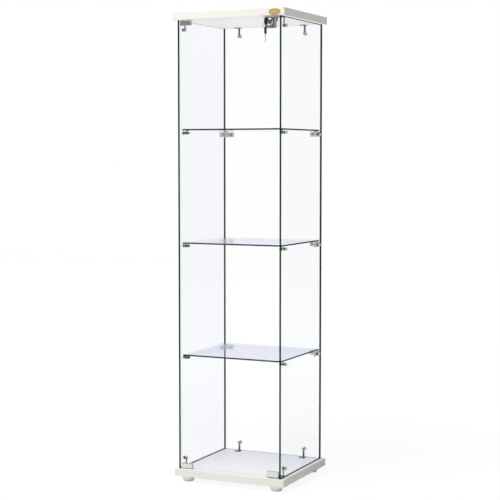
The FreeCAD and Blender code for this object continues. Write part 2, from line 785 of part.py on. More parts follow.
# The spare key hangs from the bottom of the ring, turned a little, with its blade down
spare_hole_z = ring_z - ring_radius - ring_hang
for name, piece in (("spare_key_blade", key_blade), ("spare_key_bow", key_bow)):
    hung = piece.translated(Y * -hole_reach).rotated(point(0, 0, 0), X, -90)
    hung = hung.rotated(point(0, 0, 0), Z, spare_turn)
    save(name, hung.translated(point(lock_x, ring_y, spare_hole_z)))


# Blank oval nameplate glued to the front of the top board
plate_x = board_x - nameplate_inset
plate_z = case_height - board_thickness / 2
plate_front = -board_y - nameplate_thickness
plate_middle = point(plate_x, plate_front, plate_z)
plate_end = plate_middle + X * (nameplate_length / 2)
plate_top = plate_middle + Z * (nameplate_height / 2)
plate_rim = Part.Ellipse(plate_end, plate_top, plate_middle).toShape()
nameplate = slab_between(Part.Wire([plate_rim]), Y * nameplate_thickness)
nameplate = nameplate.makeChamfer(nameplate_edge, edges_at(nameplate, plate_middle, Y))
save("nameplate", nameplate)


# Boards, cut last for every groove, bush, screw and latch that enters them
def board(low_z, cuts):
    plate = block(point(-board_x, -board_y, low_z), point(board_x, board_y, low_z + board_thickness))
    return plate.makeFillet(board_edge_radius, plate.Edges).cut(cuts)


save("base_board", board(foot_height, base_cuts))
save("top_board", board(top_under, top_cuts))
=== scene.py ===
import math

import bmesh
import bpy
from mathutils import Matrix, Vector


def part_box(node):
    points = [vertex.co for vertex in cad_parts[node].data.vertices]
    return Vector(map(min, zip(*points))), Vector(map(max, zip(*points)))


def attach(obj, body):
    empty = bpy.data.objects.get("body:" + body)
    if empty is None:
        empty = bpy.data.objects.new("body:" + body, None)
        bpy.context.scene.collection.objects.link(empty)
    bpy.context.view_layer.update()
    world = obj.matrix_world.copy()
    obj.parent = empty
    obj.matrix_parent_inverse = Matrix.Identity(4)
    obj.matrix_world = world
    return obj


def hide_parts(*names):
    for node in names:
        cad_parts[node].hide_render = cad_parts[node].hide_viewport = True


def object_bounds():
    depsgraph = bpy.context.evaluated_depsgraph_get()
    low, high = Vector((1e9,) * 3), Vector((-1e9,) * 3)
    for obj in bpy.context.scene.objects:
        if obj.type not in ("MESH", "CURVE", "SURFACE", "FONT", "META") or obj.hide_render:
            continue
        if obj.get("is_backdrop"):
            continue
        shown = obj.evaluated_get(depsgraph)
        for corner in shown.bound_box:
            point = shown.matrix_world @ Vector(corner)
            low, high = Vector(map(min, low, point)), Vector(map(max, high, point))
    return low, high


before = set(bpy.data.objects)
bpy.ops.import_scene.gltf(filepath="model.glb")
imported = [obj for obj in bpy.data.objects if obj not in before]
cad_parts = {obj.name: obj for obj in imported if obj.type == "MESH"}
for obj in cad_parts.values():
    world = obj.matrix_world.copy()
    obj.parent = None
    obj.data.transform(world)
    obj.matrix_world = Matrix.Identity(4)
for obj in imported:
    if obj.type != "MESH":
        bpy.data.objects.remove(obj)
cad_low, cad_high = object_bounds()
scene = bpy.context.scene
mm = 0.001


# Camera: it stands nearly 5 m off, to the right of the door and at chest height,
# and looks slightly down on the case through a long lens with no shift.
camera_bearing = math.radians(25.342)
camera_dip = math.radians(3.991)
camera_data = bpy.data.cameras.new("camera")
camera_data.sensor_width = 36
camera_data.lens = 97.466
camera = bpy.data.objects.new("camera", camera_data)
camera.location = (2.04312, -4.32406, 1.14454)
camera.rotation_euler = (math.pi / 2 - camera_dip, 0, camera_bearing)
scene.collection.objects.link(camera)
scene.camera = camera
scene.view_settings.view_transform = "Standard"


# Studio: a white floor that runs on into a white surround, one large soft lamp
# high on the left, and a dimmer front and right side for metal and shade.
class Socket:
    """An output in a node tree. Sums on it add Math nodes, and node() adds any other."""

    def __init__(self, tree, out=None):
        self.tree = tree
        self.out = out

    def node(self, kind, settings, sockets, out=0):
        made = self.tree.nodes.new("ShaderNode" + kind)
        for name, value in settings.items():
            setattr(made, name, value)
        for name, value in sockets.items():
            if isinstance(value, Socket):
                self.tree.links.new(value.out, made.inputs[name])
            else:
                made.inputs[name].default_value = value
        return Socket(self.tree, made.outputs[out] if made.outputs else None)

    def sum(self, operation, first, second):
        return self.node("Math", {"operation": operation}, {0: first, 1: second})

    def __add__(self, other):
        return self.sum("ADD", self, other)

    def __radd__(self, other):
        return self.sum("ADD", other, self)

    def __sub__(self, other):
        return self.sum("SUBTRACT", self, other)

    def __rsub__(self, other):
        return self.sum("SUBTRACT", other, self)

    def __mul__(self, other):
        return self.sum("MULTIPLY", self, other)

    def __rmul__(self, other):
        return self.sum("MULTIPLY", other, self)

    def __pow__(self, other):
        return self.sum("POWER", self, other)

    def __lt__(self, other):
        return self.sum("LESS_THAN", self, other)

    def __gt__(self, other):
        return self.sum("GREATER_THAN", self, other)

    def __abs__(self):
        return self.sum("ABSOLUTE", self, 0)

    def between(self, low, high):
        """Goes from 0 to 1 as the value goes from low to high."""
        smooth = {"interpolation_type": "SMOOTHSTEP"}
        return self.node("MapRange", smooth, {0: self, 1: low, 2: high})

    def tint(self, first, second):
        """The first colour where the value is 0, and the second where it is 1."""
        return self.node("Mix", {"data_type": "RGBA"}, {0: self, 6: first, 7: second}, 2)

    def axis(self, letter):
        return self.node("SeparateXYZ", {}, {0: self}, letter)


def seen_and_mirrored(start):
    """Two masks: all that the camera sees, even mirrored or through glass, and what is mirrored."""
    seen = start.node("LightPath", {}, {}, "Is Camera Ray")
    through = start.node("LightPath", {}, {}, "Is Transmission Ray")
    mirrored = start.node("LightPath", {}, {}, "Is Glossy Ray")
    return seen + through + mirrored, mirrored


room_light = 0.55
right_shade = 0.95
right_span = (-0.1, 0.8)
front_dusk = 0.73
front_lift = 0.8
front_span = (0.25, 1.0)
world = bpy.data.worlds.new("studio")
world.use_nodes = True
world.node_tree.nodes.clear()
air = Socket(world.node_tree)
seen, mirrored = seen_and_mirrored(air)
heading = air.node("TexCoord", {}, {}, "Generated")
dusk = (heading.axis("Z") * front_lift - heading.axis("Y")).between(*front_span)
shade = heading.axis("X").between(*right_span) * right_shade
unseen = room_light * (1 - shade)
strength = unseen * (1 - seen) + seen - mirrored * dusk * front_dusk
surround = air.node("Background", {}, {"Color": (1, 1, 1, 1), "Strength": strength})
air.node("OutputWorld", {}, {"Surface": surround})
scene.world = world

lamp_aim = Vector((0, 0, 0.85))
lamp_data = bpy.data.lights.new("lamp", "AREA")
lamp_data.shape = "DISK"
lamp_data.size = 3.2
lamp_data.energy = 395
lamp = bpy.data.objects.new("lamp", lamp_data)
lamp.location = (-1.0, -2.8, 7.3)
lamp.rotation_euler = (lamp_aim - lamp.location).to_track_quat("-Z", "Y").to_euler()
scene.collection.objects.link(lamp)


def new_finish(name):
    """An empty material, and a Socket to start its nodes from."""
    finish = bpy.data.materials.new(name)
    finish.use_nodes = True
    finish.node_tree.nodes.clear()
    return finish, Socket(finish.node_tree)


def shown(start, shader):
    start.node("OutputMaterial", {}, {"Surface": shader})


def grey(value):
    return (value, value, value, 1)


floor_half = 9.0
floor_paint = (grey(0.86), grey(0.9))
floor_glow = (grey(0.05), grey(0.36))
seen_paint = grey(0.11)
seen_glow = (grey(0.9), grey(0.945))
glow_span = (0.5, 2.6)
floor_finish, start = new_finish("white_floor")
seen, mirrored = seen_and_mirrored(start)
place = start.node("TexCoord", {}, {}, "Object")
speckle = start.node("TexNoise", {}, {"Vector": place, "Scale": 90.0})
away = start.node("VectorMath", {"operation": "LENGTH"}, {0: place}, "Value").between(*glow_span)
lighting = start.node("BsdfPrincipled", {}, {
    "Base Color": speckle.tint(*floor_paint), "Roughness": 1.0, "Specular IOR Level": 0.0,
    "Emission Color": away.tint(*floor_glow), "Emission Strength": 1.0})
pictured = start.node("BsdfPrincipled", {}, {
    "Base Color": seen_paint, "Roughness": 1.0, "Specular IOR Level": 0.0,
    "Emission Color": away.tint(*seen_glow), "Emission Strength": 1.0})
shown(start, start.node("MixShader", {}, {0: seen, 1: lighting, 2: pictured}))
floor_shape = bmesh.new()
bmesh.ops.create_grid(floor_shape, x_segments=1, y_segments=1, size=floor_half)
floor_mesh = bpy.data.meshes.new("floor")
floor_shape.to_mesh(floor_mesh)
floor_shape.free()
floor_mesh.materials.append(floor_finish)
floor = bpy.data.objects.new("floor", floor_mesh)
scene.collection.objects.link(floor)
floor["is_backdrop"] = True


# Boards: the base and the top are chipboard faced with off-white melamine, with
# edge bands glued round them, and grooves cut for the glass.
face_colour = (0.97, 0.965, 0.985, 1)
face_shade = (0.95, 0.945, 0.965, 1)
band_colour = (0.91, 0.885, 0.825, 1)
band_shade = (0.88, 0.855, 0.795, 1)
band_joint = (0.62, 0.6, 0.55, 1)
band_thickness = 0.9 * mm
joint_half = 0.12 * mm


def board_finish(name, low, high):
    finish, start = new_finish(name)
    place = start.node("TexCoord", {}, {}, "Object")
    cloud = start.node("TexNoise", {}, {"Vector": place, "Scale": 5.0, "Detail": 3.0})
    peel = start.node("TexNoise", {}, {"Vector": place, "Scale": 900.0, "Detail": 2.0})
    from_middle = abs(place.axis("Z") - (low.z + high.z) / 2)
    joint_height = (high.z - low.z) / 2 - band_thickness
    joint = abs(from_middle - joint_height) < joint_half
    level = 0.9
    flat = abs(start.node("NewGeometry", {}, {}, "Normal").axis("Z")) > level
    facing = cloud.tint(face_colour, face_shade)
    banding = joint.tint(cloud.tint(band_colour, band_shade), band_joint)
    colour = flat.tint(banding, facing)
    bump = start.node("Bump", {}, {"Strength": 0.06, "Distance": 0.2 * mm, "Height": peel})
    shown(start, start.node("BsdfPrincipled", {}, {
        "Base Color": colour, "Roughness": 0.38 + cloud * 0.16, "Normal": bump,
        "Specular IOR Level": 0.35}))
    return finish


def refinish(node, finish):
    """Gives a CAD piece that keeps its shape a finish."""
    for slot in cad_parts[node].material_slots:
        slot.material = finish


for node in ("base_board", "top_board"):
    refinish(node, board_finish(node, *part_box(node)))


# Feet: four hollow cones of pale grey moulded plastic, widest at the board, each
# held by one pan-headed screw that goes up through it.
weld = 0.001 * mm
crease = math.radians(32)


def turned(profile, place, direction=(0, 0, 1), steps=48):
    """A turned shape: (radius, height) points spun round an axis that starts at a place."""
    shape = bmesh.new()
    points = [shape.verts.new((radius, 0, height)) for radius, height in profile]
    follow = points[1:] if profile[0][0] == 0 else points[1:] + points[:1]
    edges = [shape.edges.new(pair) for pair in zip(points, follow)]
    bmesh.ops.spin(shape, geom=points + edges, cent=(0, 0, 0), axis=(0, 0, 1),
                   angle=math.tau, steps=steps, use_merge=True)
    bmesh.ops.remove_doubles(shape, verts=shape.verts, dist=weld)
    bmesh.ops.recalc_face_normals(shape, faces=shape.faces)
    turn = Vector((0, 0, 1)).rotation_difference(Vector(direction)).to_matrix().to_4x4()
    bmesh.ops.transform(shape, matrix=Matrix.Translation(place) @ turn, verts=shape.verts)
    return shape


def gathered(shapes):
    """Several shapes as one."""
    whole = bmesh.new()
    for shape in shapes:
        mesh = bpy.data.meshes.new("one")
        shape.to_mesh(mesh)
        shape.free()
        whole.from_mesh(mesh)
        bpy.data.meshes.remove(mesh)
    return whole


def piece(name, shape, body, nodes, slot, *finishes):
    """Makes a shape the piece that stands for some CAD nodes and rides on a body."""
    mesh = bpy.data.meshes.new(name)
    shape.to_mesh(mesh)
    shape.free()
    mesh.polygons.foreach_set("use_smooth", [True] * len(mesh.polygons))
    mesh.set_sharp_from_angle(angle=crease)
    for finish in finishes:
        mesh.materials.append(finish)
    made = bpy.data.objects.new(name, mesh)
    scene.collection.objects.link(made)
    flat_faces = made.modifiers.new("flat_faces", "WEIGHTED_NORMAL")
    flat_faces.keep_sharp = True
    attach(made, body)
    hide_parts(*nodes)
    return made


def moulded(name, colour, worn, roughness, grain, gloss=0.5):
    """A moulded plastic: a fine spark-eroded grain and a slight cloud in its colour."""
    finish, start = new_finish(name)
    place = start.node("TexCoord", {}, {}, "Object")
    cloud = start.node("TexNoise", {}, {"Vector": place, "Scale": 60.0, "Detail": 3.0})
    spark = start.node("TexNoise", {}, {"Vector": place, "Scale": grain, "Detail": 2.0})
    bump = start.node("Bump", {}, {"Strength": 0.15, "Distance": 0.1 * mm, "Height": spark})
    shown(start, start.node("BsdfPrincipled", {}, {
        "Base Color": cloud.tint(colour, worn), "Roughness": roughness + spark * 0.12,
        "Specular IOR Level": gloss, "Normal": bump}))
    return finish


def underside(low, high):
    """The middle of a box's lower face."""
    return Vector(((low.x + high.x) / 2, (low.y + high.y) / 2, low.z))


foot_finish = moulded("foot_plastic", (0.9, 0.895, 0.9, 1), (0.84, 0.835, 0.84, 1), 0.42, 2500.0)
foot_ease = 0.3 * mm
foot_lip = 1.6 * mm
foot_lip_step = 0.6 * mm
foot_floor_radius = 18.0 * mm
heel_curve = ((0.25 * mm, 1.8 * mm), (-0.25 * mm, 0.675 * mm), (-1.35 * mm, 0))
foot_recess = 5.0 * mm
foot_recess_depth = 9.0 * mm
foot_recess_ease = 0.4 * mm
foot_hole = 2.1 * mm
foot_nodes = ["foot_%s_%s" % (end, side) for end in ("front", "back") for side in ("left", "right")]
for node in foot_nodes:
    low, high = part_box(node)
    wide = (high.x - low.x) / 2
    tall = high.z - low.z
    profile = [
        (foot_hole, tall), (wide - foot_ease, tall), (wide, tall - foot_ease),
        (wide, tall - foot_lip), (wide - foot_lip_step, tall - foot_lip - foot_ease)]
    profile += [(foot_floor_radius + out, rise) for out, rise in heel_curve]
    profile += [
        (foot_recess + foot_recess_ease, 0), (foot_recess, foot_recess_ease),
        (foot_recess, foot_recess_depth), (foot_hole, foot_recess_depth)]
    foot = turned(profile, underside(low, high))
    piece("moulded_" + node, foot, "cabinet", [node], "foot_plastic", foot_finish)


# Small screws: zinc-plated steel, pan-headed under the feet and countersunk in
# the brackets, the catch and the strike plate, each with a driver recess.
def welded(node):
    """A copy of a CAD piece's mesh, with its triangles joined at their corners."""
    shape = bmesh.new()
    shape.from_mesh(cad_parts[node].data)
    bmesh.ops.remove_doubles(shape, verts=shape.verts, dist=weld)
    return shape


def solids_in(node):
    """The corners of each separate solid in a CAD node."""
    shape = welded(node)
    left = set(shape.verts)
    boxes = []
    while left:
        group = [left.pop()]
        for vert in group:
            for edge in vert.link_edges:
                other = edge.other_vert(vert)
                if other in left:
                    left.discard(other)
                    group.append(other)
        spans = [[vert.co[i] for vert in group] for i in range(3)]
        boxes.append((Vector(min(span) for span in spans), Vector(max(span) for span in spans)))
    shape.free()
    return sorted(boxes, key=lambda box: tuple(round(value, 5) for value in box[0]))


def plated(name, colour, dull, roughness, stretch=(1.0, 1.0, 1.0), metallic=1.0):
    """A plated metal with fine lines along its least stretched axis and a cloudy sheen."""
    finish, start = new_finish(name)
    place = start.node("TexCoord", {}, {}, "Object")
    along = start.node("Mapping", {}, {"Vector": place, "Scale": stretch})
    lines = start.node("TexNoise", {}, {"Vector": along, "Scale": 900.0, "Detail": 3.0})
    cloud = start.node("TexNoise", {}, {"Vector": place, "Scale": 70.0, "Detail": 4.0})
    bump = start.node("Bump", {}, {"Strength": 0.08, "Distance": 0.05 * mm, "Height": lines})
    shown(start, start.node("BsdfPrincipled", {}, {
        "Base Color": cloud.tint(colour, dull), "Roughness": roughness + lines * 0.1,
        "Metallic": metallic, "Normal": bump}))
    return finish


def recut(shape, place, direction, mouth, depth, reach):
    """Gives the round recess in a screw's head the outline that reach tells for each angle."""
    slack = 0.1 * mm
    axis = Vector(direction)
    first = axis.orthogonal().normalized()
    second = axis.cross(first)
    for vert in shape.verts:
        offset = vert.co - place
        sunk = offset.dot(axis)
        flat = offset - axis * sunk
        if 0 < flat.length < mouth and sunk < depth + slack:
            angle = math.atan2(flat.dot(second), flat.dot(first))
            vert.co += flat * (reach(angle) - 1)
    return shape


def cross_cut(angle):
    """How far a cross recess reaches at an angle, as a share of its round outline."""
    arm_length = 1.35
    arm_width = 0.36
    from_arm = (angle + math.pi / 4) % (math.pi / 2) - math.pi / 4
    beside = arm_width / max(abs(math.sin(from_arm)), 0.01)
    return min(arm_length / math.cos(from_arm), beside)


screw_finish = plated("zinc_plate", (0.62, 0.61, 0.58, 1), (0.5, 0.5, 0.5, 1), 0.28)
screw_tip = 2.4 * mm
driver_mouth = 1.65 * mm
sunk_head = 3.0 * mm
sunk_head_depth = 1.6 * mm
sunk_head_edge = 0.1 * mm
sunk_head_ease = 0.15 * mm
sunk_shank = 1.6 * mm
sunk_driver_depth = 1.1 * mm
sunk_driver_floor = 0.9 * mm
sunk_driver_rim = 1.4 * mm
screws = []
for low, high in solids_in("fixing_screws"):
    inward = -1 if high.z < cad_high.z / 2 else 1
    head_height = high.z if inward < 0 else low.z
    length = high.z - low.z
    profile = [
        (0, sunk_driver_depth), (sunk_driver_floor, sunk_driver_depth), (sunk_driver_rim, 0),
        (sunk_head - sunk_head_ease, 0), (sunk_head, sunk_head_edge), (sunk_shank, sunk_head_depth),
        (sunk_shank, length - screw_tip), (0, length)]
    place = Vector(((low.x + high.x) / 2, (low.y + high.y) / 2, head_height))
    screw = turned(profile, place, (0, 0, inward))
    screws.append(recut(screw, place, (0, 0, inward), driver_mouth, sunk_driver_depth, cross_cut))
screws = gathered(screws)
piece("countersunk_screws", screws, "cabinet", ["fixing_screws"], "screw_steel", screw_finish)

pan_height = 3.0 * mm
pan_crown = 1.2 * mm
pan_dome = (0.3 * mm, 0.5 * mm)
pan_rim = 1.4 * mm
pan_shank = 2.0 * mm
pan_driver_depth = 1.54 * mm
pan_driver_floor = 1.0 * mm
pan_driver_rim = 1.6 * mm
screws = []
for low, high in solids_in("foot_screws"):
    length = high.z - low.z
    head = (high.x - low.x) / 2
    profile = [
        (0, pan_driver_depth), (pan_driver_floor, pan_driver_depth), (pan_driver_rim, 0),
        (head - pan_crown, 0), (head - pan_dome[0], pan_dome[1]), (head, pan_rim),
        (head, pan_height), (pan_shank, pan_height), (pan_shank, length - screw_tip), (0, length)]
    place = underside(low, high)
    screw = turned(profile, place)
    screws.append(recut(screw, place, (0, 0, 1), driver_mouth, pan_driver_depth, cross_cut))
screws = gathered(screws)
piece("pan_head_screws", screws, "cabinet", ["foot_screws"], "screw_steel", screw_finish)


# Glass walls: 5 mm toughened panes stood in the boards' grooves. Their edges are
# ground, and look almost black where the green of the glass gathers.
scene.cycles.transparent_max_bounces = 32


def pane(name, node, thin, body, *finishes):
    """A CAD pane with its broad faces told apart from its ground edges and holes."""
    shape = welded(node)
    broad = 0.9
    for face in shape.faces:
        face.material_index = 0 if abs(face.normal["xyz".index(thin)]) > broad else 1
    return piece(name, shape, body, [node], "clear_glass", *finishes)


def ground_edge(start, colour, streak):
    """A ground glass edge: matt, with fine scratches along and across it."""
    place = start.node("TexCoord", {}, {}, "Object")
    grit = start.node("TexNoise", {}, {"Vector": place, "Scale": 700.0, "Detail": 4.0})
    drift = start.node("TexNoise", {}, {"Vector": place, "Scale": 9.0, "Detail": 2.0})
    bump = start.node("Bump", {}, {"Strength": 0.2, "Distance": 0.05 * mm, "Height": grit})
    streaks = drift * 0.7 + grit * 0.3
    return start.node("BsdfPrincipled", {}, {
        "Base Color": streaks.tint(colour, streak), "Roughness": 0.45 + grit * 0.2,
        "Specular IOR Level": 0.06, "Normal": bump})


def clear_face(start, passed, mirror, film, film_share):
    """A thin clear face: it hardly tints what it passes, and mirrors more when seen aslant."""
    place = start.node("TexCoord", {}, {}, "Object")
    wiped = start.node("Mapping", {}, {"Vector": place, "Scale": (1.0, 1.0, 0.35)})
    smears = start.node("TexNoise", {}, {
        "Vector": wiped, "Scale": 7.0, "Detail": 5.0, "Roughness": 0.6})
    facing = start.node("LayerWeight", {}, {"Blend": 0.5}, "Facing")
    least_mirror = 0.006
    steepness = 5
    smear_span = (0.4, 0.75)
    smeared = film_share * smears.between(*smear_span)
    share = least_mirror + mirror * facing ** steepness + smeared
    clear = start.node("BsdfTransparent", {}, {"Color": passed})
    gloss = start.node("BsdfPrincipled", {}, {
        "Base Color": film, "Roughness": 0.02 + smears * 0.02, "Specular IOR Level": 0.5,
        "Specular Tint": film})
    return start.node("MixShader", {}, {0: share, 1: clear, 2: gloss})


def one_sided(start, shader, passed):
    """Shows a shader from outside, and lets what is seen from inside the glass through."""
    inside = start.node("NewGeometry", {}, {}, "Backfacing")
    clear = start.node("BsdfTransparent", {}, {"Color": passed})
    return start.node("MixShader", {}, {0: inside, 1: shader, 2: clear})


edge_colour = (0.003, 0.016, 0.004, 1)
edge_streak = (0.006, 0.03, 0.009, 1)
pale_edge_colour = (0.62, 0.82, 0.62, 1)
pale_edge_streak = (0.55, 0.76, 0.56, 1)
pale_edge_glow = (0.56, 0.84, 0.58, 1)
pale_edge_inside = (0.94, 0.98, 0.95, 1)
pale_edge_clear = 0.55
dark_edge, start = new_finish("ground_green_edge")
shown(start, ground_edge(start, edge_colour, edge_streak))
pale_edge, start = new_finish("polished_pale_edge")
polished = ground_edge(start, pale_edge_colour, pale_edge_streak)
glowing = start.node("BsdfTransparent", {}, {"Color": pale_edge_glow})
outside = start.node("MixShader", {}, {0: pale_edge_clear, 1: polished, 2: glowing})
shown(start, one_sided(start, outside, pale_edge_inside))

pane_mirror = 0.32
wall_film = (0.84, 0.86, 0.93, 1)
wall_smears = 0.012
# Width of the dark bands of painted shade that stand for the grooves' shade on the side walls.
groove_shade_width = 1.4 * mm
front_arris = 3.2 * mm
back_arris = 4.6 * mm
green_rim = 7.0 * mm
green_tint = (0.84, 0.955, 0.85, 1)
base_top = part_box("base_board")[1].z
top_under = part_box("top_board")[0].z


def wall_glass(node, passed, upper_shade_start):
    """Glass of a side wall: dark at its upright edges, with painted groove shade just above the
    base and above the given top.
    """
    finish, start = new_finish(node)
    low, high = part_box(node)
    place = start.node("TexCoord", {}, {}, "Object")
    height = place.axis("Z")
    depth = place.axis("Y")
    # seat: painted shade of the grooves, a dark band just above the base and one above the given
    # top.
    seat = (height < base_top + groove_shade_width) + (height > upper_shade_start)
    arris = (depth < low.y + front_arris) + (depth > high.y - back_arris)
    clear = clear_face(start, passed, pane_mirror, wall_film, wall_smears)
    green = start.node("BsdfTransparent", {}, {"Color": green_tint})
    near_front = depth < low.y + front_arris + green_rim
    tinged = start.node("MixShader", {}, {0: near_front, 1: clear, 2: green})
    dark = ground_edge(start, edge_colour, edge_streak)
    either = (seat + arris) > 0.5
    shown(start, start.node("MixShader", {}, {0: either, 1: tinged, 2: dark}))
    return finish


left_tint = (0.974, 0.977, 0.991, 1)
right_tint = (0.993, 0.995, 0.999, 1)
plain_tint = (0.9985, 0.9995, 0.999, 1)
plain_film = (0.95, 0.96, 0.98, 1)
plain_smears = 0.006
# The left wall has painted groove shade at its foot only; the right wall has it under the top board
# too.
left_pane = wall_glass("left_glass", left_tint, cad_high.z)
right_pane = wall_glass("right_glass", right_tint, top_under - groove_shade_width)
plain_pane, start = new_finish("clear_glass")
shown(start, clear_face(start, plain_tint, pane_mirror, plain_film, plain_smears))

pane("left_wall_glass", "left_glass", "x", "cabinet", left_pane, dark_edge)
pane("right_wall_glass", "right_glass", "x", "cabinet", right_pane, dark_edge)
pane("back_wall_glass", "back_glass", "y", "cabinet", plain_pane, pale_edge)


# Grommets: flanged sleeves of soft milky plastic in every drilled hole, so that
# no metal touches the glass.
grommet_finish = moulded(
    "milky_plastic", (0.72, 0.74, 0.75, 1), (0.66, 0.68, 0.69, 1), 0.35, 1500.0)
refinish("glass_grommets", grommet_finish)


# Angle brackets: grey-plated steel pressed to an upright strip, bolted through a
# wall, on a wider foot that is screwed to a board.
upright_lines = (1.0, 1.0, 0.06)
bracket_finish = plated(
    "bracket_plate", (0.2, 0.205, 0.21, 1), (0.14, 0.145, 0.15, 1), 0.3, upright_lines)
strip_end_round = 3.2 * mm
foot_corner_round = 5.0 * mm
press_ease = 0.25 * mm
sides = (("left", -1), ("right", 1))
nearly_flat = math.radians(0.5)
sharp_angle = math.radians(40)


def rounded(shape, edges, radius, steps):
    bmesh.ops.bevel(shape, geom=edges, offset=radius, affect="EDGES", segments=steps,
                    profile=0.5, material=-1, clamp_overlap=True)


def softened(node, ease=0.0, rounds=None):
    """A copy of a CAD piece with flat faces whole, chosen corners rounded and sharp edges eased.

    Rounds gives a radius for an edge that it rounds, and nothing for the others.
    """
    shape = welded(node)
    bmesh.ops.dissolve_limit(shape, angle_limit=nearly_flat, verts=shape.verts, edges=shape.edges)
    chosen = {}
    for edge in shape.edges if rounds else ():
        radius = rounds(edge)
        if radius:
            chosen.setdefault(radius, []).append(edge)
    for radius, edges in chosen.items():
        rounded(shape, edges, radius, steps=6)
    if ease:
        sharp = [edge for edge in shape.edges if edge.calc_face_angle(0) > sharp_angle]
        rounded(shape, sharp, ease, steps=2)
    return shape


def free_corners(node, outward, up):
    """Tells the free corners of a bracket's foot and of the end of its strip."""
    low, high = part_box(node)
    across = Vector((0, 0, 1)).cross(outward)
    tip = high.z if up > 0 else low.z
    half_foot = abs((high - low).dot(across)) / 2
    middle = (low + high) / 2
    near = 0.01 * mm

    def rounds(edge):
        first, second = (vert.co for vert in edge.verts)
        run = second - first
        aside = abs((first - middle).dot(across))
        upright = abs(run.x) < near and abs(run.y) < near
        if upright and aside > half_foot - near:
            return foot_corner_round
        level = abs(run.z) < near and abs(run.dot(across)) < near
        if level and abs(first.z - tip) < near:
            return strip_end_round
        return None

    return rounds


for level, up in (("base", 1), ("top", -1)):
    for side, sign in sides:
        for end, outward in (("front", Vector((sign, 0, 0))), ("back", Vector((0, 1, 0)))):
            node = "%s_bracket_%s_%s" % (level, end, side)
            shape = softened(node, press_ease, free_corners(node, outward, up))
            piece("bent_" + node, shape, "cabinet", [node], "bracket_metal", bracket_finish)


# Corner brackets: folded steel angles with a pale satin coat in the back corners,
# each with two bolted arms and a ledge that a shelf's corner rests on.
corner_finish = plated(
    "corner_plate", (0.86, 0.865, 0.87, 1), (0.76, 0.765, 0.77, 1), 0.3, metallic=0.3)
fold_ease = 0.3 * mm
shelf_levels = ("lower", "middle", "upper")
for level in shelf_levels:
    for side in ("left", "right"):
        node = "%s_corner_bracket_%s" % (level, side)
        shape = softened(node, fold_ease)
        piece("folded_" + node, shape, "cabinet", [node], "bracket_metal", corner_finish)


# Front studs: turned and plated barrels bolted through the side walls, each with
# a collar, a groove near its end and an upright pin that the shelf stands on.
stud_finish = plated("stud_plate", (0.15, 0.153, 0.156, 1), (0.1, 0.103, 0.106, 1), 0.22)
stud_shank = 2.0 * mm
collar = 6.0 * mm
collar_length = 2.5 * mm
collar_seat_ease = 0.4 * mm
collar_front_ease = 0.5 * mm
barrel = 4.0 * mm
barrel_length = 14.0 * mm
groove_near = 3.0 * mm
groove_far = 4.2 * mm
groove_slope = 0.2 * mm
groove_depth = 0.5 * mm
nose_length = 1.0 * mm
nose_bulge = 0.3 * mm
for level in shelf_levels:
    for side, sign in sides:
        node = "%s_front_stud_%s" % (level, side)
        low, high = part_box(node)
        length = high.x - low.x
        neck = length - barrel_length
        seat = neck - collar_length
        profile = [
            (0, 0), (stud_shank, 0), (stud_shank, seat), (collar - collar_seat_ease, seat),
            (collar, seat + collar_seat_ease), (collar, neck - collar_front_ease),
            (collar - collar_front_ease, neck), (barrel, neck), (barrel, length - groove_far),
            (barrel - groove_depth, length - groove_far + groove_slope),
            (barrel - groove_depth, length - groove_near - groove_slope),
            (barrel, length - groove_near), (barrel, length - nose_length),
            (barrel - nose_bulge, length - nose_bulge), (barrel - nose_length, length), (0, length)]
        start_x = high.x if sign > 0 else low.x
        place = Vector((start_x, (low.y + high.y) / 2, (low.z + high.z) / 2))
        stud = turned(profile, place, (-sign, 0, 0), 36)
        piece("turned_" + node, stud, "cabinet", [node], "bracket_metal", stud_finish)

pin_chamfer = 0.5 * mm
pins = []
for low, high in solids_in("stud_pins"):
    radius = (high.x - low.x) / 2
    length = high.z - low.z
    profile = [
        (0, 0), (radius - pin_chamfer, 0), (radius, pin_chamfer), (radius, length), (0, length)]
    pins.append(turned(profile, underside(low, high), steps=24))
piece("upright_pins", gathered(pins), "cabinet", ["stud_pins"], "screw_steel", screw_finish)


# Shelf pads: discs of soft black rubber with rounded rims, stuck to the ledges and
# the pins, that the glass shelves lie on.
pad_finish = moulded("pad_rubber", (0.05, 0.05, 0.05, 1), (0.08, 0.08, 0.08, 1), 0.6, 1800.0)
pad_rim = 0.45 * mm
pad_bulge = (0.1 * mm, 0.18 * mm)
pads = []
for low, high in solids_in("shelf_pads"):
    radius = (high.x - low.x) / 2
    tall = high.z - low.z
    profile = [
        (0, 0), (radius - pad_rim, 0), (radius - pad_bulge[0], pad_bulge[1]), (radius, pad_rim),
        (radius, tall - pad_rim), (radius - pad_bulge[0], tall - pad_bulge[1]),
        (radius - pad_rim, tall), (0, tall)]
    pads.append(turned(profile, underside(low, high), steps=32))
piece("rubber_pads", gathered(pads), "cabinet", ["shelf_pads"], "pad_rubber", pad_finish)


# Bolts and cap nuts: button-headed bolts go out through bracket and glass, and
# domed nuts with a flange close the holes on the outside.
bolt_finish = plated("bolt_plate", (0.58, 0.58, 0.58, 1), (0.42, 0.42, 0.42, 1), 0.2)
bolt_head = 6.0 * mm
bolt_head_height = 3.5 * mm
button_curve = ((2.4 * mm, 0.1 * mm), (1.1 * mm, 0.5 * mm), (0.3 * mm, 1.3 * mm), (0, 2.2 * mm))
bolt_shank = 2.0 * mm
socket_radius = 1.9 * mm
socket_depth = 1.9 * mm
socket_ease = 0.2 * mm
socket_edge = 0.15 * mm
socket_mouth = 2.2 * mm


def hexagon(angle):
    """How far a hexagon reaches at an angle, as a share of its least radius."""
    from_flat = angle % (math.pi / 3) - math.pi / 6
    return 1 / math.cos(from_flat)


def outward_line(low, high, pick):
    """The axis that a bolt or nut is longest or flattest on: its index and the way out along it."""
    size = high - low
    line = pick(range(3), key=lambda i: size[i])
    outward = Vector((0, 0, 0))
    outward[line] = math.copysign(1, low[line] + high[line])
    return line, outward


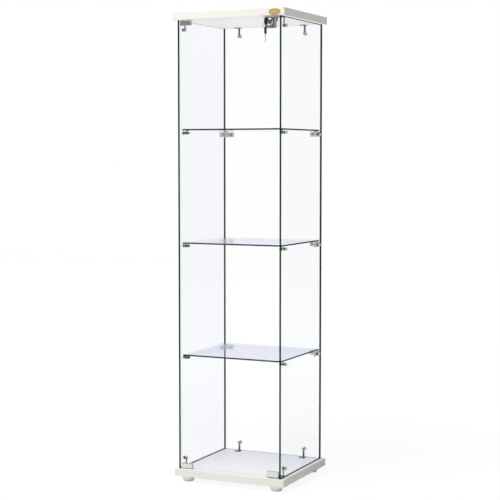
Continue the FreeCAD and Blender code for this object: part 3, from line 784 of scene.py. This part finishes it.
bolts = []
for low, high in solids_in("clamp_bolts"):
    line, outward = outward_line(low, high, max)
    length = (high - low)[line]
    button = [(bolt_head - inset, drop) for inset, drop in button_curve]
    profile = [
        (0, socket_depth), (socket_radius, socket_depth), (socket_radius, socket_edge),
        (socket_radius + socket_ease, 0)]
    profile += button + [(bolt_head, bolt_head_height), (bolt_shank, bolt_head_height)]
    profile += [(bolt_shank, length), (0, length)]
    place = (low + high) / 2 - outward * length / 2
    bolt = turned(profile, place, outward, 36)
    bolts.append(recut(bolt, place, outward, socket_mouth, socket_depth, hexagon))
piece("button_bolts", gathered(bolts), "cabinet", ["clamp_bolts"], "bracket_metal", bolt_finish)

nut_bore = 2.05 * mm
nut_cap = 1.2 * mm
flange_ease = 0.3 * mm
flange_edge = 1.1 * mm
flange_top = 1.4 * mm
flange_step = 0.35 * mm
dome_curve = ((0.5 * mm, 1.6 * mm), (1.0 * mm, 0.7 * mm), (2.0 * mm, 0.15 * mm), (3.2 * mm, 0))
nuts = []
for low, high in solids_in("cap_nuts"):
    line, outward = outward_line(low, high, min)
    rim = max(high - low) / 2
    tall = (high - low)[line]
    dome = [(rim - inset, tall - drop) for inset, drop in dome_curve]
    profile = [
        (0, tall - nut_cap), (nut_bore, tall - nut_cap), (nut_bore, 0), (rim - flange_ease, 0),
        (rim, flange_ease), (rim, flange_edge), (rim - flange_step, flange_top)]
    profile += dome + [(0, tall)]
    nuts.append(turned(profile, (low + high) / 2 - outward * tall / 2, outward, 36))
piece("domed_nuts", gathered(nuts), "cabinet", ["cap_nuts"], "bracket_metal", bolt_finish)


# Shelves: three loose plates of 5 mm glass with rounded corners and ground edges,
# lying on the pads. Seen from above they take a cool tint.
shelf_tint = (0.915, 0.925, 0.963, 1)
shelf_film = (0.75, 0.775, 0.905, 1)
shelf_mirror = 0.6
shelf_smears = 0.012
shelf_edge_inside = (0.95, 0.96, 0.98, 1)
shelf_glass, start = new_finish("shelf_glass")
shown(start, clear_face(start, shelf_tint, shelf_mirror, shelf_film, shelf_smears))
shelf_edge, start = new_finish("shelf_edge")
shown(start, one_sided(start, ground_edge(start, edge_colour, edge_streak), shelf_edge_inside))
for level in shelf_levels:
    pane(level + "_glass_shelf", level + "_shelf", "z", "cabinet", shelf_glass, shelf_edge)


# Door: one frameless pane between the side walls, with polished edges that show
# a pale green line, hung on clips at its two left corners.
pane("door_pane", "door_glass", "y", "door", plain_pane, pale_edge)


# Hinge clips: channels of satin nickel steel over the door's left corners, lined
# with plastic and clamped by grub screws. Their pins turn in nylon bushes.
level_lines = (0.05, 1.0, 1.0)
clip_finish = plated(
    "satin_nickel", (0.76, 0.76, 0.77, 1), (0.68, 0.68, 0.69, 1), 0.16, level_lines)
clip_ease = 0.35 * mm
for node in ("lower_hinge_clip", "upper_hinge_clip"):
    piece("satin_" + node, softened(node, clip_ease), "door", [node], "clip_metal", clip_finish)
refinish("pivot_pins", screw_finish)
refinish("grub_screws", screw_finish)
refinish("door_liners", grommet_finish)
nylon_finish = moulded("natural_nylon", (0.72, 0.71, 0.66, 1), (0.66, 0.65, 0.6, 1), 0.4, 1200.0)
refinish("pivot_bushes", nylon_finish)


# Strike clip and catch: a pressed steel clip on the door's lower right corner,
# held shut by a magnet in a black plastic housing screwed to the base.
strike_ease = 0.3 * mm
strike = softened("strike_clip", strike_ease)
piece("pressed_strike_clip", strike, "door", ["strike_clip"], "clip_metal", clip_finish)
catch_finish = moulded(
    "catch_plastic", (0.025, 0.025, 0.026, 1), (0.04, 0.04, 0.04, 1), 0.45, 1600.0)
catch_ease = 0.3 * mm
catch = softened("catch_housing", catch_ease)
piece("catch_case", catch, "cabinet", ["catch_housing"], "catch_plastic", catch_finish)
refinish("catch_magnet", plated("magnet_poles", (0.2, 0.2, 0.2, 1), (0.1, 0.1, 0.1, 1), 0.5))


# Lock: a square die-cast body clamped over the door's top edge, with a bright turned
# rose and plug in front and a pressed latch that rises into the strike plate.
cast_finish = plated("die_cast_grey", (0.4, 0.4, 0.41, 1), (0.31, 0.31, 0.32, 1), 0.34)
chrome_finish = plated("bright_chrome", (0.72, 0.72, 0.73, 1), (0.6, 0.6, 0.61, 1), 0.08)
latch_lines = (0.08, 1.0, 1.0)
latch_finish = plated(
    "pressed_steel", (0.55, 0.55, 0.54, 1), (0.42, 0.42, 0.42, 1), 0.32, latch_lines)
cast_ease = 0.3 * mm
cast_body = softened("lock_body", cast_ease)
piece("cast_lock_body", cast_body, "door", ["lock_body"], "lock_metal", cast_finish)

low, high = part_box("lock_bezel")
rose_radius = (high.x - low.x) / 2
rose_front = high.y - low.y
rose_flange = 1.6 * mm
rose_ease = 0.3 * mm
bead_edge = rose_radius - 1.1 * mm
bead_foot = (0.2 * mm, 0.7 * mm)
bead_shoulder = (0.9 * mm, 0.5 * mm)
bead_top = rose_radius - 2.9 * mm
bead_crown = 0.4 * mm
lip = 9.0 * mm
lip_drop = 0.5 * mm
lip_floor = rose_front - 0.8 * mm
bore = 7.05 * mm
bore_ease = 0.2 * mm
profile = [
    (bore, 0), (rose_radius, 0), (rose_radius, rose_flange - rose_ease),
    (rose_radius - rose_ease, rose_flange), (bead_edge, rose_flange),
    (bead_edge - bead_foot[0], rose_flange + bead_foot[1]),
    (bead_edge - bead_shoulder[0], rose_front - bead_shoulder[1]), (bead_top, rose_front),
    (bead_top - bead_crown, rose_front), (lip, rose_front - lip_drop), (lip, lip_floor),
    (bore + bore_ease, lip_floor), (bore, lip_floor - bore_ease)]
axis_point = Vector(((low.x + high.x) / 2, high.y, (low.z + high.z) / 2))
rose = turned(profile, axis_point, (0, -1, 0), 72)
rim_band = 0.1 * mm
upright_face = 0.1
rim_faces = []
for face in rose.faces:
    from_axis = face.calc_center_median() - axis_point
    from_axis.y = 0
    if abs(face.normal.y) < upright_face and from_axis.length > rose_radius - rim_band:
        rim_faces.append(face)
knurl_edge = 0.22 * mm
knurl_depth = 0.25 * mm
bmesh.ops.inset_individual(rose, faces=rim_faces, thickness=knurl_edge, depth=-knurl_depth)
piece("knurled_rose", rose, "door", ["lock_bezel"], "lock_chrome", chrome_finish)

plug_ease = 0.1 * mm
plug = softened("lock_plug", plug_ease)
piece("plug_with_keyway", plug, "lock_plug", ["lock_plug"], "lock_chrome", chrome_finish)
latch_ease = 0.25 * mm
latch = softened("lock_latch", latch_ease)
piece("pressed_latch", latch, "lock_latch", ["lock_latch"], "latch_steel", latch_finish)
strike_plate_ease = 0.2 * mm
plate = softened("lock_strike_plate", strike_plate_ease)
piece("strike_plate", plate, "cabinet", ["lock_strike_plate"], "latch_steel", latch_finish)


# Keys: nickel-plated blades moulded into black plastic bows, one in the lock and
# a spare that hangs from it by a split ring of flat spring wire.
key_plastic = moulded(
    "key_black", (0.01, 0.01, 0.011, 1), (0.016, 0.016, 0.017, 1), 0.6, 2200.0, gloss=0.22)
key_nickel = plated("key_nickel", (0.66, 0.65, 0.62, 1), (0.55, 0.54, 0.52, 1), 0.2)
panel_rim = 0.5 * mm
panel_depth = 0.35 * mm
cheek_flatness = 0.001 * mm
blade_ease = 0.15 * mm
for body in ("key", "spare_key"):
    bow = body + "_bow"
    blade = body + "_blade"
    shape = softened(bow)
    broad = max(shape.faces, key=lambda face: face.calc_area()).normal.copy()
    centre = sum(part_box(bow), Vector()) / 2
    reach = max(abs((vert.co - centre).dot(broad)) for vert in shape.verts)
    panel = []
    for face in shape.faces:
        nearest = min(abs((vert.co - centre).dot(broad)) for vert in face.verts)
        if nearest > reach - cheek_flatness:
            panel.append(face)
    bmesh.ops.inset_region(shape, faces=panel, thickness=panel_rim, use_boundary=True)
    for vert in {vert for face in panel for vert in face.verts}:
        vert.co -= broad * math.copysign(panel_depth, (vert.co - centre).dot(broad))
    piece("moulded_" + bow, shape, body, [bow], "key_plastic", key_plastic)
    piece("milled_" + blade, softened(blade, blade_ease), body, [blade], "key_steel", key_nickel)

wire_width = 1.4 * mm
wire_thickness = 0.78 * mm
ring_pitch = 0.8 * mm
ring_turns = 2
ring_steps = 64
low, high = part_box("key_ring")
ring_middle = (low + high) / 2
ring_radius = (high.x - low.x - wire_width) / 2
coil = bmesh.new()
bmesh.ops.create_circle(coil, cap_ends=True, segments=12, radius=0.5)
wire = Matrix.Diagonal((wire_width, wire_thickness, 1, 1))
bmesh.ops.transform(coil, matrix=Matrix.Translation((ring_radius, 0, 0)) @ wire, verts=coil.verts)
bmesh.ops.spin(coil, geom=coil.verts[:] + coil.edges[:] + coil.faces[:], cent=(0, 0, 0),
               axis=(0, 1, 0), dvec=(0, ring_pitch / ring_steps, 0), angle=math.tau * ring_turns,
               steps=ring_steps * ring_turns)
ring_start = ring_middle - Vector((0, ring_pitch * ring_turns / 2, 0))
bmesh.ops.translate(coil, vec=ring_start, verts=coil.verts)
bmesh.ops.recalc_face_normals(coil, faces=coil.faces)
piece("split_ring", coil, "key_ring", ["key_ring"], "key_steel", key_nickel)


# Nameplate: a small blank oval of satin brass, stamped with a raised rim round a
# groove darkened by patina and painted shade, and a pillowed field, and glued to the front of the
# top board.
plate_lines = (0.04, 1.0, 1.0)
brass_finish = plated(
    "satin_brass", (0.95, 0.64, 0.21, 1), (0.86, 0.55, 0.16, 1), 0.3, plate_lines, metallic=0.5)
# Patina for the groove, dark enough that it also stands for painted shade along the rim.
patina_and_shade_finish = plated(
    "brass_patina_and_shade", (0.16, 0.1, 0.04, 1), (0.1, 0.06, 0.025, 1), 0.45, metallic=0.5)
low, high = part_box("nameplate")
plate_steps = 72
plate_ease = 0.4 * mm
plate_border = 0.6 * mm
groove_wall = 0.15 * mm
groove_floor = 1.1 * mm
plate_sink = 0.6 * mm
pillow_steps = (0.22 * mm, 0.16 * mm, 0.1 * mm, 0.04 * mm)
pillow_ring = 0.5 * mm
shape = bmesh.new()
bmesh.ops.create_circle(shape, cap_ends=True, segments=plate_steps, radius=0.5)
upright = Matrix.Rotation(math.pi / 2, 4, "X")
oval = Matrix.Diagonal((high.x - low.x, 1, high.z - low.z, 1))
plate_back = Vector(((low.x + high.x) / 2, high.y, (low.z + high.z) / 2))
placed = Matrix.Translation(plate_back) @ oval @ upright
bmesh.ops.transform(shape, matrix=placed, verts=shape.verts)
pushed = bmesh.ops.extrude_face_region(shape, geom=shape.faces[:])
moved = [part for part in pushed["geom"] if isinstance(part, bmesh.types.BMVert)]
bmesh.ops.translate(shape, vec=(0, low.y - high.y, 0), verts=moved)
bmesh.ops.recalc_face_normals(shape, faces=shape.faces)


def plate_face():
    return min(shape.faces, key=lambda face: face.calc_center_median().y)


def ring_inside(face, width):
    """Cuts a ring of faces inside the edge of a face, and returns it."""
    cut = bmesh.ops.inset_region(shape, faces=[face], thickness=width, use_even_offset=True)
    return cut["faces"]


rounded(shape, plate_face().edges[:], plate_ease, steps=3)
face = plate_face()
ring_inside(face, plate_border)
groove = ring_inside(face, groove_wall)
bmesh.ops.translate(shape, vec=(0, plate_sink, 0), verts=face.verts[:])
groove += ring_inside(face, groove_floor)
# The groove takes the patina, which is also painted shade.
for dark in groove:
    dark.material_index = 1
for rise in pillow_steps:
    ring_inside(face, pillow_ring)
    bmesh.ops.translate(shape, vec=(0, -rise, 0), verts=face.verts[:])
plate_finishes = (brass_finish, patina_and_shade_finish)
piece("blank_nameplate", shape, "cabinet", ["nameplate"], "plate_brass", *plate_finishes)


low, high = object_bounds()
